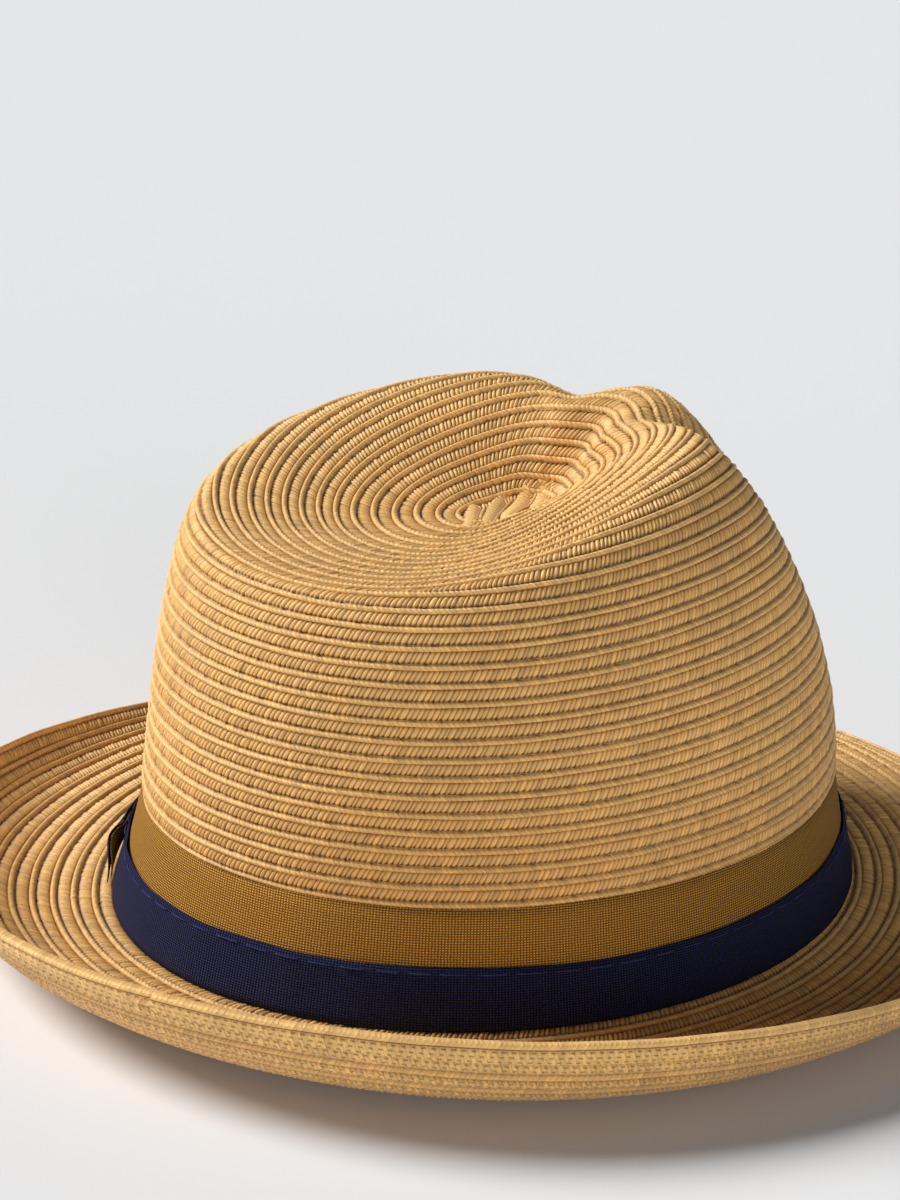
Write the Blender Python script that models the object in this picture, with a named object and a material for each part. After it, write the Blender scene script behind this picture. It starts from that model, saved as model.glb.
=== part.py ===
"""Short-brim fedora sewn from paper-straw braid, with a two-colour grosgrain band and a flat side bow.

Metres, +Z up. The hat stands on its brim: front towards -Y, wearer's left towards +X.
Inside the functions a point of the hat is written (front, left, up), with up = 0 at the band's top edge.
"""

import math

import bmesh
import bpy
import numpy as np
from mathutils import Matrix, Vector

# Head oval at the band's top edge
OVAL_HALF_LENGTH = 0.0983
OVAL_HALF_WIDTH = 0.0827
FLAT_ANGLE = math.radians(136.0)
FLAT_SPREAD = 0.55
FLAT_IN = 0.0040
SEGMENTS = 40

# Braid
BRAID_THICK = 0.0019
BRAID_LIP = 0.00055
GAP = 0.0003

# Crown meridian: mean value, then cos(theta), cos(2 theta), ... terms
WALL_LEAN = 0.06
WALL_HOLD = (0.0516, 0.0001, -0.0041)
RIM_REACH = (0.0495, -0.0169, 0.0004, 0.0008)
RIM_HEIGHT = (0.0851, 0.0112, -0.0030)
SHOULDER_HOLD = (0.0125, 0.0060)
DENT_HOLD = (0.0150, 0.0035)
TIP_HOLD = (0.0150, -0.0035, 0.0045)
TIP_HEIGHT = 0.0680
CROWN_ROWS = 31
ROWS_TO_CENTRE = 32.15

# Two front pinches and the slight slump at the back right
PINCH_ANGLE = 0.539
PINCH_SPREAD = 0.344
PINCH_IN = 0.0115
PINCH_DOWN = 0.0036
SLUMP_ANGLE = math.radians(226.0)
SLUMP_SPREAD = 0.7
SLUMP_DOWN = 0.0045
SLUMP_OUT = 0.0010

# Band zone below the band's top edge
BRIM_LEVEL = -0.0294
BASE_FLARE = 0.00645
FLARE_POWER = 1.2

# Brim meridian
BRIM_WIDTH = 0.0530
BRIM_WIDTH_FRONT = -0.0014
BRIM_WIDTH_LEFT = -0.0033
BRIM_START_SLOPE = (-0.030, 0.095, 0.156)
BRIM_END_SLOPE = (0.608, -1.158, -0.355)
BRIM_END_LEFT = -0.465
BRIM_CURL_POWER = 2.2
BRIM_ROWS = 10.4
FLOOR_LEVEL = -0.0334
FLOOR_SOFTNESS = 0.0006

# Doubled edge round and its nylon line
EDGE_THICK = 0.0013
EDGE_START_ROW = 9.45
EDGE_OPEN_AT = math.radians(198.0)
BRIM_EDGE_BACK = 0.0013
LINE_RADIUS = 0.0004

# Ribbons
MUSTARD_THICK = 0.0006
MUSTARD_TOP = -0.0003
MUSTARD_BOTTOM = BRIM_LEVEL + 0.0012
NAVY_THICK = 0.0007
NAVY_TOP = -0.0138
NAVY_BOTTOM = BRIM_LEVEL + 0.0009
THREAD_RADIUS = 0.00022
THREAD_BELOW_EDGE = 0.0013
THREAD_WAVE = 0.00012

# Flat bow on the wearer's left: two lined wings whose ends bulge off the band, and a wrapped knot
BOW_CENTRE = math.radians(116.0)
BOW_SPREAD = 0.580
BOW_SLANT = 0.17
BOW_STEPS = 12
BOW_LEVELS = 9
BOW_TOP = (-0.0185, -0.0150)
BOW_BOTTOM = (-0.0262, -0.0280)
BOW_THICK = 0.0004
BOW_BACK = 0.0027
BOW_END_BACK = 0.0024
BOW_BULGE = 0.0026
BOW_BULGE_HIGH = 2.4
BOW_BULGE_POWER = 0.7
LINING_TRIM = 0.0006
KNOT_SPREAD = 0.070
KNOT_TOP = -0.0165
KNOT_BOTTOM = -0.0281
KNOT_BACK = 0.0023
KNOT_FRONT = 0.0043
KNOT_THICK = 0.0007

# Inside the head opening
SWEAT_THICK = 0.0011
SWEAT_TOP = 0.0030
SWEAT_BOTTOM = -0.0286
SWEAT_STITCH_UP = -0.0262
SEAM_TAPE_HALF_WIDTH = 0.0060
SEAM_TAPE_THICK = 0.0006
LABEL_AT = math.radians(158.0)
LABEL_WIDTH = 0.020
LABEL_DROP = 0.026
LABEL_TOP = -0.0030
LABEL_THICK = 0.0005
LABEL_INSET = 0.0055

THETA = np.arange(SEGMENTS) * 2.0 * math.pi / SEGMENTS


def clear_scene():
    for item in list(bpy.data.objects):
        bpy.data.objects.remove(item, do_unlink=True)


# Shape of the hat

def series(terms, theta):
    return sum(term * np.cos(n * theta) for n, term in enumerate(terms))


def bump(theta, centre, spread):
    away = (theta - centre + math.pi) % (2.0 * math.pi) - math.pi
    return np.exp(-(away / spread) ** 2)


def cubic(a, b, c, d, t):
    return a * (1 - t) ** 3 + 3 * b * t * (1 - t) ** 2 + 3 * c * t ** 2 * (1 - t) + d * t ** 3


def flattening(theta):
    """How far the wall is pressed in at the back left."""
    return FLAT_IN * bump(theta, FLAT_ANGLE, FLAT_SPREAD)


def wall_offset(up):
    """How far the crown wall stands outside the oval; it flares below the band's top edge."""
    drop = np.maximum(-np.asarray(up, float), 0.0) / -BRIM_LEVEL
    rise = np.maximum(np.asarray(up, float), 0.0)
    return BASE_FLARE * drop ** FLARE_POWER - WALL_LEAN * rise


def oval(theta, offset):
    """Plan position (front, left) of a point standing off the oval by offset."""
    offset = offset - flattening(theta)
    normal_f = np.cos(theta) / OVAL_HALF_LENGTH
    normal_l = np.sin(theta) / OVAL_HALF_WIDTH
    size = np.hypot(normal_f, normal_l)
    front = OVAL_HALF_LENGTH * np.cos(theta) + offset * normal_f / size
    left = OVAL_HALF_WIDTH * np.sin(theta) + offset * normal_l / size
    return front, left


def ring(theta, offset, up):
    front, left = oval(theta, offset)
    return np.stack([front, left, up + 0.0 * theta], axis=-1)


def crown_meridian(theta, steps=60):
    """Distance from the core line, height and length along the surface, band edge to tip centre."""
    t = np.linspace(0.0, 1.0, steps)[:, None]
    pinch = bump(np.abs((theta + math.pi) % (2 * math.pi) - math.pi), PINCH_ANGLE, PINCH_SPREAD)
    slump = bump(theta, SLUMP_ANGLE, SLUMP_SPREAD)
    reach = series(RIM_REACH, theta) - PINCH_IN * pinch + SLUMP_OUT * slump
    rim = series(RIM_HEIGHT, theta) - PINCH_DOWN * pinch - SLUMP_DOWN * slump
    hold = series(WALL_HOLD, theta)
    shoulder = reach + series(SHOULDER_HOLD, theta)
    wide = OVAL_HALF_WIDTH - flattening(theta)
    wall_w = cubic(wide, wide - hold * math.sin(WALL_LEAN), shoulder, reach, t)
    wall_h = cubic(0.0, hold * math.cos(WALL_LEAN), rim, rim, t)
    dent_hold = series(DENT_HOLD, theta) * (1.0 - 0.4 * pinch)
    dent_w = cubic(reach, reach - dent_hold, series(TIP_HOLD, theta), 0.0, t)
    dent_h = cubic(rim, rim, TIP_HEIGHT, TIP_HEIGHT, t)
    reach_along = np.concatenate([wall_w, dent_w[1:]])
    height_along = np.concatenate([wall_h, dent_h[1:]])
    length = np.hypot(np.diff(reach_along, axis=0), np.diff(height_along, axis=0))
    along = np.concatenate([np.zeros((1, len(theta))), np.cumsum(length, axis=0)])
    return along, reach_along, height_along


def crown_ring(meridian, row, relief):
    """One ring of the crown at a braid row number, lifted along the surface's outward side."""
    along, reach_along, height_along = meridian
    points = np.empty((SEGMENTS, 3))
    core = OVAL_HALF_LENGTH - OVAL_HALF_WIDTH
    for i, theta in enumerate(THETA):
        here = row / ROWS_TO_CENTRE * along[-1, i]
        step = 0.0008
        ahead = min(here + step, along[-1, i])
        w0, w1 = np.interp((ahead - step, ahead), along[:, i], reach_along[:, i])
        h0, h1 = np.interp((ahead - step, ahead), along[:, i], height_along[:, i])
        size = math.hypot(w1 - w0, h1 - h0)
        reach = np.interp(here, along[:, i], reach_along[:, i]) + relief * (h1 - h0) / size
        height = np.interp(here, along[:, i], height_along[:, i]) - relief * (w1 - w0) / size
        squeeze = min(max(reach / OVAL_HALF_WIDTH, 0.03), 1.0)
        along_core = math.cos(theta) / math.sqrt(
            math.cos(theta) ** 2 + squeeze * math.sin(theta) ** 2)
        points[i] = (core * along_core + reach * math.cos(theta), reach * math.sin(theta), height)
    return points


def brim_point(theta, share, relief, floor_cut=False):
    """A ring of the brim at a share of its width, lifted off the top side by relief."""
    width = BRIM_WIDTH + BRIM_WIDTH_FRONT * np.cos(theta) + BRIM_WIDTH_LEFT * np.sin(theta)
    width = width + flattening(theta)
    start = series(BRIM_START_SLOPE, theta)
    end = series(BRIM_END_SLOPE, theta) + BRIM_END_LEFT * np.sin(theta)
    steps = np.linspace(0.0, max(share, 0.0), 25)
    middles = 0.5 * (steps[1:] + steps[:-1])
    slopes = start + (end - start) * (middles[:, None] ** BRIM_CURL_POWER)
    length = width * (steps[1] - steps[0])
    out = np.sum(np.cos(slopes), axis=0) * length + min(share, 0.0) * width
    up = BRIM_LEVEL + np.sum(np.sin(slopes), axis=0) * length
    above = (up - FLOOR_LEVEL - BRAID_THICK) / FLOOR_SOFTNESS
    up = FLOOR_LEVEL + BRAID_THICK + FLOOR_SOFTNESS * np.logaddexp(0.0, above)
    free = np.exp(-np.logaddexp(0.0, -above))
    slope = free * (start + (end - start) * max(share, 0.0) ** BRIM_CURL_POWER)
    out = out - relief * np.sin(slope)
    up = up + relief * np.cos(slope)
    if floor_cut:
        up = np.where(up < FLOOR_LEVEL + 0.0004, FLOOR_LEVEL, up)
    return ring(theta, BASE_FLARE + out, up)


def brim_centre():
    outline = brim_point(np.linspace(0.0, 2.0 * math.pi, 721), 1.0, 0.0)
    return 0.5 * (outline[:, :2].max(axis=0) + outline[:, :2].min(axis=0))


CENTRE_FRONT, CENTRE_LEFT = brim_centre()


def to_world(points):
    """(front, left, up) to (x, y, z): the floor is z = 0 and the brim's outline is centred."""
    points = np.asarray(points, float)
    return np.stack([points[..., 1] - CENTRE_LEFT, CENTRE_FRONT - points[..., 0],
                     points[..., 2] - FLOOR_LEVEL], axis=-1)


# Materials

def material(name, colour, roughness):
    made = bpy.data.materials.new(name)
    made.use_nodes = True
    surface = made.node_tree.nodes["Principled BSDF"]
    surface.inputs["Base Color"].default_value = (*colour, 1.0)
    surface.inputs["Roughness"].default_value = roughness
    surface.inputs["Metallic"].default_value = 0.0
    made.diffuse_color = (*colour, 1.0)
    return made


# Mesh helpers

def make_object(name, mesh_builder, finish, smooth=True):
    mesh = bpy.data.meshes.new(name)
    mesh_builder.to_mesh(mesh)
    mesh_builder.free()
    made = bpy.data.objects.new(name, mesh)
    bpy.context.scene.collection.objects.link(made)
    mesh.materials.append(finish)
    mesh.polygons.foreach_set("use_smooth", [smooth] * len(mesh.polygons))
    return made


def add_ring(builder, points):
    return [builder.verts.new(tuple(p)) for p in to_world(points)]


def join_rings(builder, low, high, closed=True):
    count = len(low)
    for i in range(count if closed else count - 1):
        j = (i + 1) % count
        builder.faces.new((low[i], low[j], high[j], high[i]))


def close_with_fan(builder, edge, facing_up=True):
    centre = sum((v.co for v in edge), edge[0].co * 0.0) / len(edge)
    middle = builder.verts.new(centre)
    for i, vert in enumerate(edge):
        after = edge[(i + 1) % len(edge)]
        builder.faces.new((vert, after, middle) if facing_up else (after, vert, middle))


def surface_of(name, rings, finish, closed=True, smooth=True):
    """An open skin through a list of rings; from low to high it faces outwards."""
    builder = bmesh.new()
    made = [add_ring(builder, points) for points in rings]
    for low, high in zip(made, made[1:]):
        join_rings(builder, low, high, closed)
    return make_object(name, builder, finish, smooth)


def thicken(skin, thickness, bevel=0.0):
    """Solidify towards the skin's normals, with an optional small bevel on its edges."""
    solid = skin.modifiers.new("thickness", "SOLIDIFY")
    solid.thickness = thickness
    solid.offset = 1.0
    solid.use_even_offset = True
    if bevel > 0.0:
        edge = skin.modifiers.new("soft_edge", "BEVEL")
        edge.width = bevel
        edge.segments = 1
        edge.limit_method = "ANGLE"
        edge.angle_limit = math.radians(50.0)


def tube(name, path, radius, finish, sides=5):
    """A round thread or line round the hat, along a closed path of (front, left, up) points."""
    tangent = np.roll(path, -1, axis=0) - np.roll(path, 1, axis=0)
    tangent /= np.linalg.norm(tangent, axis=1)[:, None]
    across = np.cross(tangent, (0.0, 0.0, 1.0))
    across /= np.linalg.norm(across, axis=1)[:, None]
    upward = np.cross(across, tangent)
    builder = bmesh.new()
    sections = []
    for centre, a, b in zip(path, across, upward):
        angles = np.arange(sides) * 2.0 * math.pi / sides
        points = centre + radius * (np.cos(angles)[:, None] * a + np.sin(angles)[:, None] * b)
        sections.append(add_ring(builder, points))
    for here, after in zip(sections, sections[1:] + sections[:1]):
        join_rings(builder, after, here)
    return make_object(name, builder, finish)


def with_midpoints(points):
    between = 0.5 * (points + np.roll(points, -1, axis=0))
    return np.stack([points, between], axis=1).reshape(-1, 3)


# Crown and brim

def build_crown(straw):
    meridian = crown_meridian(THETA)
    builder = bmesh.new()
    bottom = BRIM_LEVEL + GAP
    outer = [ring(THETA, wall_offset(u), u) for u in (bottom, -0.020, -0.010, -0.0004)]
    for row in range(CROWN_ROWS):
        if row:
            outer.append(crown_ring(meridian, row - 0.06, 0.0))
        outer.append(crown_ring(meridian, row + 0.05, BRAID_LIP))
    outer.append(crown_ring(meridian, CROWN_ROWS - 0.06, 0.0))
    outer.append(crown_ring(meridian, CROWN_ROWS + 0.05, BRAID_LIP * 0.6))
    inner_rows = (0, 3, 6, 9, 12, 14, 15, 16, 17, 18, 19, 20, 21, 22, 23, 24, 26, 28, 30, 31.2)
    inner = [ring(THETA, wall_offset(u) - BRAID_THICK, u) for u in (bottom, -0.020, -0.010)]
    inner += [crown_ring(meridian, row, -BRAID_THICK) for row in inner_rows]
    outer_made = [add_ring(builder, points) for points in outer]
    inner_made = [add_ring(builder, points) for points in inner]
    for low, high in zip(outer_made, outer_made[1:]):
        join_rings(builder, low, high)
    for low, high in zip(inner_made, inner_made[1:]):
        join_rings(builder, high, low)
    join_rings(builder, inner_made[0], outer_made[0])
    close_with_fan(builder, outer_made[-1])
    close_with_fan(builder, inner_made[-1], facing_up=False)
    make_object("crown", builder, straw)


def brim_top_rings():
    rings = [brim_point(THETA, -BRAID_THICK / BRIM_WIDTH, 0.0), brim_point(THETA, 0.0, 0.0)]
    for row in range(1, int(BRIM_ROWS)):
        rings.append(brim_point(THETA, (row - 0.05) / BRIM_ROWS, BRAID_LIP))
        if row + 0.06 < EDGE_START_ROW:
            rings.append(brim_point(THETA, (row + 0.06) / BRIM_ROWS, 0.0))
    rings[-1] = brim_point(THETA, (int(BRIM_ROWS) - 1 + 0.06) / BRIM_ROWS, 0.0)
    for share in (EDGE_START_ROW / BRIM_ROWS, 1.0 - BRIM_EDGE_BACK / BRIM_WIDTH):
        rings.append(brim_point(THETA, share, 0.0))
    return rings


def build_brim(straw):
    builder = bmesh.new()
    last = 1.0 - BRIM_EDGE_BACK / BRIM_WIDTH
    shares = (-BRAID_THICK / BRIM_WIDTH, 0.0, 0.12, 0.26, 0.40, 0.52, 0.64, 0.75, 0.84, 0.92, last)
    top = [add_ring(builder, points) for points in brim_top_rings()]
    under = [add_ring(builder, brim_point(THETA, share, -BRAID_THICK, True)) for share in shares]
    for near, far in zip(top, top[1:]):
        join_rings(builder, far, near)
    for near, far in zip(under, under[1:]):
        join_rings(builder, near, far)
    join_rings(builder, top[0], under[0])
    join_rings(builder, under[-1], top[-1])
    make_object("brim", builder, straw)


def build_edge_braid(straw):
    """The doubled last round: a strip on the brim's edge whose two cut ends nearly meet."""
    span = 2.0 * math.pi * (SEGMENTS - 1) / SEGMENTS
    theta = EDGE_OPEN_AT + np.linspace(0.0, span, SEGMENTS)
    shares = (1.0, 0.955, EDGE_START_ROW / BRIM_ROWS)
    rings = [brim_point(theta, share, GAP) for share in shares]
    strip = surface_of("brim_edge_braid", rings, straw, closed=False)
    thicken(strip, EDGE_THICK)


def build_edge_line(nylon):
    centre = 1.0 - (0.0005 / BRIM_WIDTH)
    path = brim_point(THETA, centre, -LINE_RADIUS)
    tube("brim_edge_line", path, LINE_RADIUS, nylon)


# Ribbons

def band_rings(offset, top, bottom, steps):
    return [ring(THETA, wall_offset(u) + offset, u) for u in np.linspace(bottom, top, steps)]


def build_bands(mustard, navy):
    wide = surface_of("band_mustard", band_rings(GAP, MUSTARD_TOP, MUSTARD_BOTTOM, 4), mustard)
    thicken(wide, MUSTARD_THICK, 0.00015)
    offset = 2.0 * GAP + MUSTARD_THICK
    narrow = surface_of("band_navy", band_rings(offset, NAVY_TOP, NAVY_BOTTOM, 4), navy)
    thicken(narrow, NAVY_THICK, 0.00015)


def build_seam_thread(thread):
    up = NAVY_TOP - THREAD_BELOW_EDGE
    offset = wall_offset(up) + 3.0 * GAP + MUSTARD_THICK + NAVY_THICK + THREAD_RADIUS
    path = with_midpoints(ring(THETA, offset, up))
    outward = path[:, :2] / np.linalg.norm(path[:, :2], axis=1)[:, None]
    wave = THREAD_WAVE * (1.0 + np.cos(math.pi * np.arange(len(path))))
    path[:, :2] += outward * wave[:, None]
    tube("band_seam_thread", path, THREAD_RADIUS, thread, sides=4)


# Bow

def unit(vector):
    return vector / np.linalg.norm(vector)


def wing_rings(lift, trim):
    """Strip through both wings, low edge to high edge; its ends bulge away from the band."""
    along = np.sin(np.linspace(-0.5, 0.5, 2 * BOW_STEPS + 1) * math.pi)
    low = BOW_BOTTOM[0] + (BOW_BOTTOM[1] - BOW_BOTTOM[0]) * along ** 2 + trim
    high = BOW_TOP[0] + (BOW_TOP[1] - BOW_TOP[0]) * along ** 2 - trim
    rings = []
    for share in np.linspace(0.0, 1.0, BOW_LEVELS):
        up = low + (high - low) * share
        theta = BOW_CENTRE + along * (BOW_SPREAD * (1.0 - BOW_SLANT * share) - trim / OVAL_HALF_WIDTH)
        swell = max(math.sin(math.pi * share ** BOW_BULGE_HIGH), 0.0)
        end_back = BOW_END_BACK + BOW_BULGE * swell ** BOW_BULGE_POWER
        back = BOW_BACK + (end_back - BOW_BACK) * np.abs(along) ** 7 + lift
        rings.append(ring(theta, wall_offset(up) + back, up))
    return rings


def build_bow(mustard, navy):
    lining = surface_of("bow_lining", wing_rings(0.0, LINING_TRIM), mustard, closed=False)
    thicken(lining, BOW_THICK)
    wings = surface_of("bow_wings", wing_rings(BOW_THICK + GAP, 0.0), navy, closed=False)
    thicken(wings, BOW_THICK)


def build_knot(navy):
    """The strip wrapped over the bow's middle, tucked in behind it at top and bottom."""
    corner = 0.0008
    profile = [
        (KNOT_BACK, KNOT_BOTTOM),
        (KNOT_FRONT - corner, KNOT_BOTTOM),
        (KNOT_FRONT, KNOT_BOTTOM + corner),
        (KNOT_FRONT + 0.0004, 0.5 * (KNOT_TOP + KNOT_BOTTOM)),
        (KNOT_FRONT, KNOT_TOP - corner),
        (KNOT_FRONT - corner, KNOT_TOP),
        (KNOT_BACK, KNOT_TOP),
    ]
    theta = BOW_CENTRE + np.linspace(-KNOT_SPREAD, KNOT_SPREAD, 5)
    rings = [ring(theta, wall_offset(up) + off, up) for off, up in profile]
    strip = surface_of("bow_knot", rings, navy, closed=False)
    thicken(strip, KNOT_THICK)


# Inside

def build_sweatband(cotton, thread):
    offset = -BRAID_THICK - 2.0 * GAP - SWEAT_THICK
    levels = np.linspace(SWEAT_BOTTOM, SWEAT_TOP, 5)
    rings = [ring(THETA, wall_offset(u) + offset, u) for u in levels]
    strip = surface_of("sweatband", rings, cotton)
    thicken(strip, SWEAT_THICK, 0.0002)
    inside = wall_offset(SWEAT_STITCH_UP) + offset - GAP - THREAD_RADIUS
    path = with_midpoints(ring(THETA, inside, SWEAT_STITCH_UP))
    tube("sweatband_stitching", path, THREAD_RADIUS, thread, sides=4)


def build_back_seam(cotton):
    offset = -BRAID_THICK - 3.0 * GAP - SWEAT_THICK - SEAM_TAPE_THICK - 2.0 * GAP
    half = SEAM_TAPE_HALF_WIDTH / OVAL_HALF_WIDTH
    theta = math.pi + np.linspace(-half, half, 4)
    levels = np.linspace(SWEAT_STITCH_UP + 0.0015, SWEAT_TOP - 0.0015, 3)
    rings = [ring(theta, wall_offset(u) + offset, u) for u in levels]
    strip = surface_of("sweatband_back_seam", rings, cotton, closed=False)
    thicken(strip, SEAM_TAPE_THICK)


def build_label(cloth):
    """A blank cloth label; its origin is on its sewn top edge, from which it hangs and flips."""
    front, left = oval(np.array([LABEL_AT]), -LABEL_INSET)
    ahead, side = oval(np.array([LABEL_AT + 0.01]), -LABEL_INSET)
    across = unit(np.array([ahead[0] - front[0], side[0] - left[0], 0.0]))
    top = np.array([front[0], left[0], LABEL_TOP])
    rows = []
    for drop in (LABEL_DROP, 0.5 * LABEL_DROP, 0.0):
        line = [top + across * share * LABEL_WIDTH for share in (-0.5, 0.0, 0.5)]
        rows.append(np.array(line) - np.array([0.0, 0.0, drop]))
    label = surface_of("care_label", rows, cloth, closed=False, smooth=False)
    thicken(label, LABEL_THICK, 0.0001)
    pivot = Vector(to_world(top))
    label.data.transform(Matrix.Translation(-pivot))
    label.location = pivot


def build():
    clear_scene()
    straw = material("straw_braid", (0.56, 0.33, 0.125), 0.62)
    mustard = material("mustard_grosgrain", (0.245, 0.125, 0.022), 0.75)
    navy = material("navy_grosgrain", (0.010, 0.012, 0.040), 0.75)
    navy_thread = material("navy_thread", (0.020, 0.026, 0.085), 0.6)
    cotton = material("cotton_sweatband", (0.60, 0.55, 0.45), 0.85)
    pale_thread = material("pale_thread", (0.72, 0.62, 0.42), 0.6)
    label_cloth = material("label_cloth", (0.82, 0.81, 0.78), 0.8)
    nylon = material("nylon_line", (0.75, 0.72, 0.62), 0.35)
    build_crown(straw)
    build_brim(straw)
    build_edge_braid(straw)
    build_edge_line(nylon)
    build_bands(mustard, navy)
    build_seam_thread(navy_thread)
    build_bow(mustard, navy)
    build_knot(navy)
    build_sweatband(cotton, pale_thread)
    build_back_seam(cotton)
    build_label(label_cloth)


build()
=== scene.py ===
import math

import bpy
import numpy as np
from mathutils import Matrix


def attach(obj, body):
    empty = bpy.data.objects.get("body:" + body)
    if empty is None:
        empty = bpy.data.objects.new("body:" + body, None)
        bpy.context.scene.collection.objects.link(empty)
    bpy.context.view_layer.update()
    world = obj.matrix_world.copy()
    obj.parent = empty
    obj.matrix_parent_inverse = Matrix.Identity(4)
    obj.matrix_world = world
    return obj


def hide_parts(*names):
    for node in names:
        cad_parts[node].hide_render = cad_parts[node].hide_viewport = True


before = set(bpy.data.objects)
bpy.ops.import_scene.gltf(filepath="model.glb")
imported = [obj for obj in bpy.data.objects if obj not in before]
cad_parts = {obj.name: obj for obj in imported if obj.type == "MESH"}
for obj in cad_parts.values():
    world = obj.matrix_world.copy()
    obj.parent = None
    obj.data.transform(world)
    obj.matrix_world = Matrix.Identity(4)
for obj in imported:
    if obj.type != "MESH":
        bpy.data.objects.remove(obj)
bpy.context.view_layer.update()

SCENE = bpy.context.scene
SCENE.view_settings.view_transform = "Standard"
MM = 0.001

# Head oval, band zone and brim level, in metres. A point of the hat is (front, left, up), up = 0 at
# the band's top edge; theta runs from the front round by the wearer's left.
OVAL_HALF_LENGTH = 0.0983
OVAL_HALF_WIDTH = 0.0827
FLAT_ANGLE = math.radians(136.0)
FLAT_SPREAD = 0.55
FLAT_IN = 0.0040
BRIM_LEVEL = -0.0294
BASE_FLARE = 0.00645
FLARE_POWER = 1.2
FLOOR_LEVEL = -0.0334
FLOOR_SOFTNESS = 0.0006
CENTRE_FRONT = 0.0018272
CENTRE_LEFT = 0.0001290

# Crown meridian, as mean value and cos(n theta) terms
WALL_LEAN = 0.06
WALL_HOLD = (0.0516, 0.0001, -0.0041)
RIM_REACH = (0.0495, -0.0169, 0.0004, 0.0008)
RIM_HEIGHT = (0.0851, 0.0112, -0.0030)
SHOULDER_HOLD = (0.0125, 0.0060)
DENT_HOLD = (0.0150, 0.0035)
TIP_HOLD = (0.0150, -0.0035, 0.0045)
TIP_HEIGHT = 0.0680
ROWS_TO_CENTRE = 32.15
ROW_PITCH = 0.0051
PINCH_ANGLE = 0.539
PINCH_SPREAD = 0.344
PINCH_IN = 0.0115
PINCH_DOWN = 0.0036
SLUMP_ANGLE = math.radians(226.0)
SLUMP_SPREAD = 0.7
SLUMP_DOWN = 0.0045
SLUMP_OUT = 0.0010

# Brim meridian
BRIM_WIDTH = 0.0530
BRIM_WIDTH_FRONT = -0.0014
BRIM_WIDTH_LEFT = -0.0033
BRIM_START_SLOPE = (-0.030, 0.095, 0.156)
BRIM_END_SLOPE = (0.608, -1.158, -0.355)
BRIM_END_LEFT = -0.465
BRIM_CURL_POWER = 2.2
BRIM_ROWS = 10.4
BRAID_THICK = 0.0019

# Braid: slanted strands of twisted straw, a stitched groove and a rolled ridge along one edge.
# Shares are of a row's width, and depths and heights named _MM are in millimetres.
STRAND = 0.00125
STITCH = 0.0063
STITCH_RADIUS = 0.00011
STITCH_AT = 0.275
SAMPLES = 4
STRAND_WAVE = ((-1.0, 0.55, 0.95, 0.55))
SPIRAL_PHASE = 0.628
CROWN_TURNS = 31.0
CROWN_TURNS_UNDER_BAND = 1.4
LEAN_STRANDS = 0.0014
LEAN_RIDGE = 0.0012
GROOVE_AT = 0.305
PITS_AT = 0.34
RIDGE_AT = 0.15
PLUMP_SPREAD = 0.25
TONE_SPREAD = 0.22
RAISE_SPREAD_MM = 0.07
SHIFT_SPREAD = 0.13
WAVE_UP_MM = 0.05
WAVE_ACROSS = 0.018
HOLE_STRANDS = 0.6
HOLE_DEPTH_MM = 0.5
HOLE_RIM_DEPTH_MM = 0.22
PIT_SHADE = 0.6
FLAT_UNDER_BAND_MM = 0.25
MOST_VERTICES = 93000
STRAW_ABOVE_FLOOR = 0.0002
BASE_TOP = -0.0045
BASE_BACK = 0.0002
BASE_THICK = 0.0015
BASE_RADIUS_MM = 91.0
BRIM_LAST_ROW = BRIM_ROWS - 0.04
BRIM_TURNS_SHORT = 0.15
BRIM_END_LOW_MM = 0.22
BRIM_END_EASE = (0.35, 0.60)
EDGE_OPENING = 198.0 / 360.0
EDGE_OVERLAP = 0.002
EDGE_STEP_MM = 0.55
EDGE_STEP_EASE = (0.012, 0.002)

# Folded start of the braid in the tip: middle and half length of each fold, along their direction
TIP_FOLDS = ((-0.0105, 0.0110), (-0.0025, 0.0170), (0.0055, 0.0150), (0.0130, 0.0100))
TIP_FOLD_TURN = math.radians(33.0)
TIP_FOLD_WIDTH = 0.0047
TIP_FOLD_HEIGHT = 0.75
TIP_FOLD_SINK_MM = 1.6
TIP_PATCH = (0.0150, 0.0080)

# Ribbons and bow
GAP = 0.0003
MUSTARD_THICK = 0.0006
MUSTARD_TOP = -0.0003
MUSTARD_BOTTOM = BRIM_LEVEL + 0.0012
MUSTARD_TOP_WAVES = ((3, 0.00012), (7, 0.00008), (11, 0.00005))
MUSTARD_PICOT = 0.00012
NAVY_THICK = 0.0007
NAVY_TOP = -0.0138
NAVY_BOTTOM = BRIM_LEVEL + 0.0009
NAVY_TOP_WAVES = ((4, 0.00022), (9, 0.00012), (17, 0.00005))
NAVY_FACE_WAVES = ((13, 0.00010), (23, 0.00010), (37, 0.00005))
NAVY_LOOSE = 0.00012
NAVY_PICOT = 0.00007
BOW_PICOT = 0.00005
THREAD_BELOW_EDGE = 0.0013
THREAD_OFF = 0.0001
THREAD_DASH = (0.0062, 0.0022)
THREAD_RADIUS = 0.00015
BOW_CENTRE = math.radians(116.0)
BOW_SPREAD = 0.580
BOW_SLANT = 0.17
BOW_TOP = (-0.0185, -0.0150)
BOW_BOTTOM = (-0.0262, -0.0280)
BOW_THICK = 0.0004
BOW_BACK = 0.0027
BOW_END_BACK = 0.0024
BOW_BULGE = 0.0026
BOW_BULGE_HIGH = 2.4
BOW_BULGE_POWER = 0.7
BOW_END_POWER = 7
LINING_TRIM = 0.0006
KNOT_SPREAD = 0.070
KNOT_TOP = -0.0165
KNOT_BOTTOM = -0.0281
KNOT_BACK = 0.0023
KNOT_FRONT = 0.0043
KNOT_THICK = 0.0007
KNOT_CORNER = 0.0008
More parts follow.
